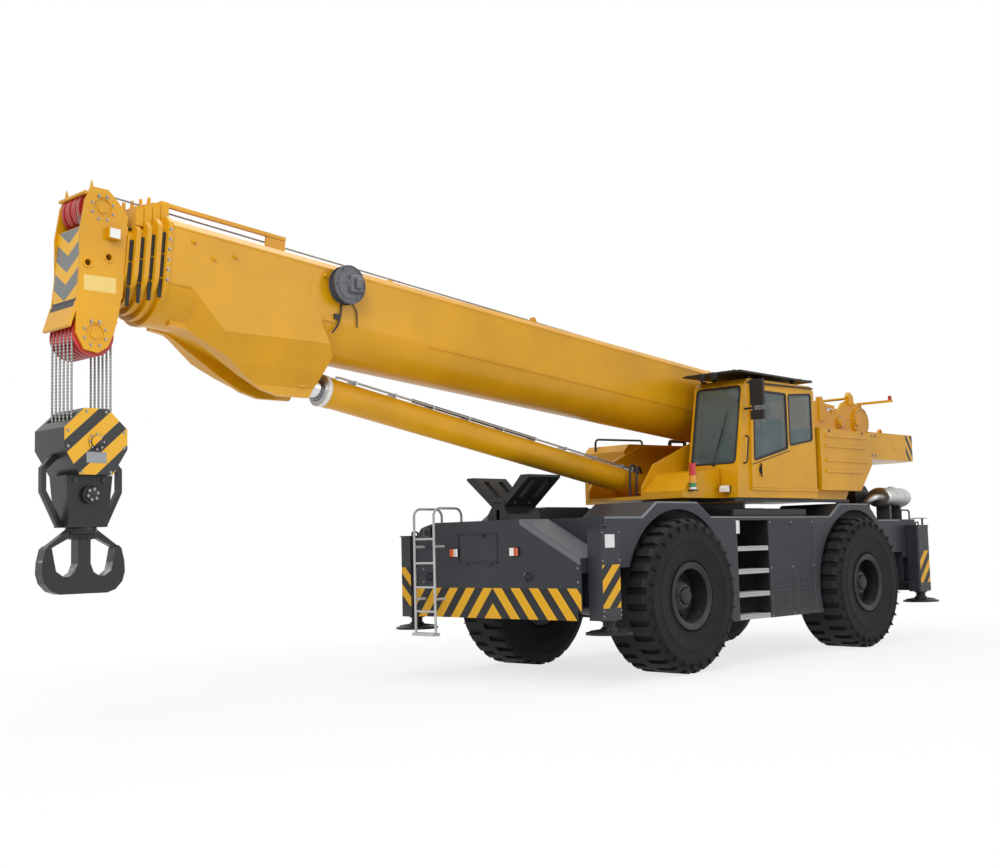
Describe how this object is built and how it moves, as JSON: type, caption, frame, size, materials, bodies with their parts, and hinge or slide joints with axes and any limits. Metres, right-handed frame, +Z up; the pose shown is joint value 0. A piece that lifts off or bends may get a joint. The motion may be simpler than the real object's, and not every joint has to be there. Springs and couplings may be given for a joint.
{
  "type": "mobile crane",
  "caption": "Rough-terrain mobile crane: telescopic boom on a slewing deck with a side cab, steered big wheels, outriggers, lift cylinder, hook block and ramshorn hook.",
  "frame": {"origin": "on the ground, under the middle of the whole crane's bounding box", "axes": "+X forward along the boom, +Y to the crane's left, where the cab is, +Z up"},
  "size_m": [15.113, 3.7648, 5.3809],
  "materials": {
    "yellow_paint": "gloss yellow coach paint",
    "carrier_paint": "satin anthracite paint",
    "black_paint": "satin black paint",
    "tyre": "matt rubber",
    "rim_paint": "satin dark grey paint",
    "rod_chrome": "polished hard chrome",
    "steel": "bare steel",
    "rope": "greased wire rope",
    "sheave_red": "red painted sheaves",
    "glass": "tinted safety glass",
    "interior": "dark trim",
    "lamp": "lamp lenses",
    "reel_grey": "light grey paint"
  },
  "bodies": {
    "carrier": {"carrier_frame": "carrier_paint", "front_body": "carrier_paint", "left_body": "carrier_paint", "right_body": "carrier_paint", "side_boxes": "carrier_paint", "ladders": "steel", "rear_body": "carrier_paint", "engine": "black_paint", "axles": "black_paint", "slew_ring": "black_paint", "boom_rest": "black_paint", "muffler": "steel", "air_cleaner": "black_paint", "carrier_lamps": "lamp"},
    "knuckle_front_left": {"knuckle_front_left": "black_paint"},
    "wheel_front_left": {"tyre_front_left": "tyre", "rim_front_left": "rim_paint"},
    "beam_front_left": {"outrigger_beam_front_left": "carrier_paint"},
    "jack_front_left": {"outrigger_jack_front_left": "steel"},
    "knuckle_front_right": {"knuckle_front_right": "black_paint"},
    "wheel_front_right": {"tyre_front_right": "tyre", "rim_front_right": "rim_paint"},
    "beam_front_right": {"outrigger_beam_front_right": "carrier_paint"},
    "jack_front_right": {"outrigger_jack_front_right": "steel"},
    "knuckle_rear_left": {"knuckle_rear_left": "black_paint"},
    "wheel_rear_left": {"tyre_rear_left": "tyre", "rim_rear_left": "rim_paint"},
    "beam_rear_left": {"outrigger_beam_rear_left": "carrier_paint"},
    "jack_rear_left": {"outrigger_jack_rear_left": "steel"},
    "knuckle_rear_right": {"knuckle_rear_right": "black_paint"},
    "wheel_rear_right": {"tyre_rear_right": "tyre", "rim_rear_right": "rim_paint"},
    "beam_rear_right": {"outrigger_beam_rear_right": "carrier_paint"},
    "jack_rear_right": {"outrigger_jack_rear_right": "steel"},
    "turntable": {"turntable": "yellow_paint", "cab_shell": "yellow_paint", "cab_glass": "glass", "cab_interior": "interior", "roof_guard": "black_paint", "left_hood": "yellow_paint", "right_hood": "yellow_paint", "counterweight": "yellow_paint", "winches": "yellow_paint", "signal_lamps": "lamp", "mirrors": "black_paint"},
    "door": {"door": "yellow_paint", "door_glass": "glass"},
    "boom": {"boom_base": "yellow_paint", "cable_reel": "reel_grey"},
    "section_2": {"boom_section_2": "yellow_paint"},
    "section_3": {"boom_section_3": "yellow_paint"},
    "section_4": {"boom_section_4": "yellow_paint"},
    "head": {"boom_section_5": "yellow_paint", "boom_head": "yellow_paint", "head_sheaves": "sheave_red"},
    "lift_barrel": {"lift_cylinder_barrel": "yellow_paint"},
    "lift_rod": {"lift_cylinder_rod": "rod_chrome"},
    "hoist_lines": {"rope_falls": "rope"},
    "hook_block": {"hook_block": "black_paint"},
    "hook": {"hook": "black_paint"}
  },
  "joints": [
    {"name": "steer_front_left", "type": "hinge", "parent": "carrier", "child": "knuckle_front_left", "pos_m": [-0.504, 0.98, 1], "axis": [0, 0, 1], "range_deg": [-25, 25]},
    {"name": "roll_front_left", "type": "hinge", "parent": "knuckle_front_left", "child": "wheel_front_left", "pos_m": [-0.504, 1.315, 1], "axis": [0, 1, 0], "continuous": true},
    {"name": "outrigger_front_left", "type": "slide", "parent": "carrier", "child": "beam_front_left", "axis": [0, 1, 0], "range_m": [0, 2]},
    {"name": "jack_front_left", "type": "slide", "parent": "beam_front_left", "child": "jack_front_left", "axis": [0, 0, -1], "range_m": [0, 0.6]},
    {"name": "steer_front_right", "type": "hinge", "parent": "carrier", "child": "knuckle_front_right", "pos_m": [-0.504, -0.98, 1], "axis": [0, 0, 1], "range_deg": [-25, 25]},
    {"name": "roll_front_right", "type": "hinge", "parent": "knuckle_front_right", "child": "wheel_front_right", "pos_m": [-0.504, -1.315, 1], "axis": [0, 1, 0], "continuous": true},
    {"name": "outrigger_front_right", "type": "slide", "parent": "carrier", "child": "beam_front_right", "axis": [0, -1, 0], "range_m": [0, 2]},
    {"name": "jack_front_right", "type": "slide", "parent": "beam_front_right", "child": "jack_front_right", "axis": [0, 0, -1], "range_m": [0, 0.6]},
    {"name": "steer_rear_left", "type": "hinge", "parent": "carrier", "child": "knuckle_rear_left", "pos_m": [-5.129, 0.98, 1], "axis": [0, 0, 1], "range_deg": [-25, 25]},
    {"name": "roll_rear_left", "type": "hinge", "parent": "knuckle_rear_left", "child": "wheel_rear_left", "pos_m": [-5.129, 1.315, 1], "axis": [0, 1, 0], "continuous": true},
    {"name": "outrigger_rear_left", "type": "slide", "parent": "carrier", "child": "beam_rear_left", "axis": [0, 1, 0], "range_m": [0, 2]},
    {"name": "jack_rear_left", "type": "slide", "parent": "beam_rear_left", "child": "jack_rear_left", "axis": [0, 0, -1], "range_m": [0, 0.6]},
    {"name": "steer_rear_right", "type": "hinge", "parent": "carrier", "child": "knuckle_rear_right", "pos_m": [-5.129, -0.98, 1], "axis": [0, 0, 1], "range_deg": [-25, 25]},
    {"name": "roll_rear_right", "type": "hinge", "parent": "knuckle_rear_right", "child": "wheel_rear_right", "pos_m": [-5.129, -1.315, 1], "axis": [0, 1, 0], "continuous": true},
    {"name": "outrigger_rear_right", "type": "slide", "parent": "carrier", "child": "beam_rear_right", "axis": [0, -1, 0], "range_m": [0, 2]},
    {"name": "jack_rear_right", "type": "slide", "parent": "beam_rear_right", "child": "jack_rear_right", "axis": [0, 0, -1], "range_m": [0, 0.6]},
    {"name": "slew", "type": "hinge", "parent": "carrier", "child": "turntable", "pos_m": [-2.9165, 0, 2.3], "axis": [0, 0, 1], "continuous": true},
    {"name": "door_slide", "type": "slide", "parent": "turntable", "child": "door", "axis": [-1, 0, 0], "range_m": [0, 0.7]},
    {"name": "luff", "type": "hinge", "parent": "turntable", "child": "boom", "pos_m": [-5.6165, 0, 3.3], "axis": [0, -1, 0], "range_deg": [-2.6, 70]},
    {"name": "telescope_2", "type": "slide", "parent": "boom", "child": "section_2", "axis": [0.9962, 0, 0.0872], "range_m": [0, 8.8]},
    {"name": "telescope_3", "type": "slide", "parent": "boom", "child": "section_3", "axis": [0.9962, 0, 0.0872], "range_m": [0, 17.6]},
    {"name": "telescope_4", "type": "slide", "parent": "boom", "child": "section_4", "axis": [0.9962, 0, 0.0872], "range_m": [0, 26.4]},
    {"name": "telescope_5", "type": "slide", "parent": "boom", "child": "head", "axis": [0.9962, 0, 0.0872], "range_m": [0, 35.2]},
    {"name": "lift_cylinder_swing", "type": "hinge", "parent": "turntable", "child": "lift_barrel", "pos_m": [-1.6265, 0, 2.52], "axis": [0, -1, 0], "range_deg": [-3.16, 85]},
    {"name": "lift_cylinder_stroke", "type": "slide", "parent": "lift_barrel", "child": "lift_rod", "axis": [0.9854, 0, 0.17], "range_m": [-0.15495, 4.1716]},
    {"name": "hoist_hang", "type": "hinge", "parent": "head", "child": "hoist_lines", "pos_m": [7.1265, 0, 3.85], "axis": [0, -1, 0], "range_deg": [-70, 2.6]},
    {"name": "hoist", "type": "slide", "parent": "hoist_lines", "child": "hook_block", "axis": [0, 0, -1], "range_m": [-0.3, 0.7], "deforming": ["rope_falls"]},
    {"name": "hook_swivel", "type": "hinge", "parent": "hook_block", "child": "hook", "pos_m": [7.1265, 0, 1.7], "axis": [0, 0, 1], "continuous": true}
  ],
  "couplings": [
    {"joint": "steer_front_right", "follows": "steer_front_left", "ratio": 1},
    {"joint": "steer_rear_right", "follows": "steer_rear_left", "ratio": 1},
    {"joint": "telescope_3", "follows": "telescope_2", "ratio": 2},
    {"joint": "telescope_4", "follows": "telescope_2", "ratio": 3},
    {"joint": "telescope_5", "follows": "telescope_2", "ratio": 4},
    {"joint": "lift_cylinder_swing", "follows": "luff", "ratio": 1.2143},
    {"joint": "lift_cylinder_stroke", "follows": "luff", "m_per_rad": 3.4145},
    {"joint": "hoist_hang", "follows": "luff", "ratio": -1}
  ]
}
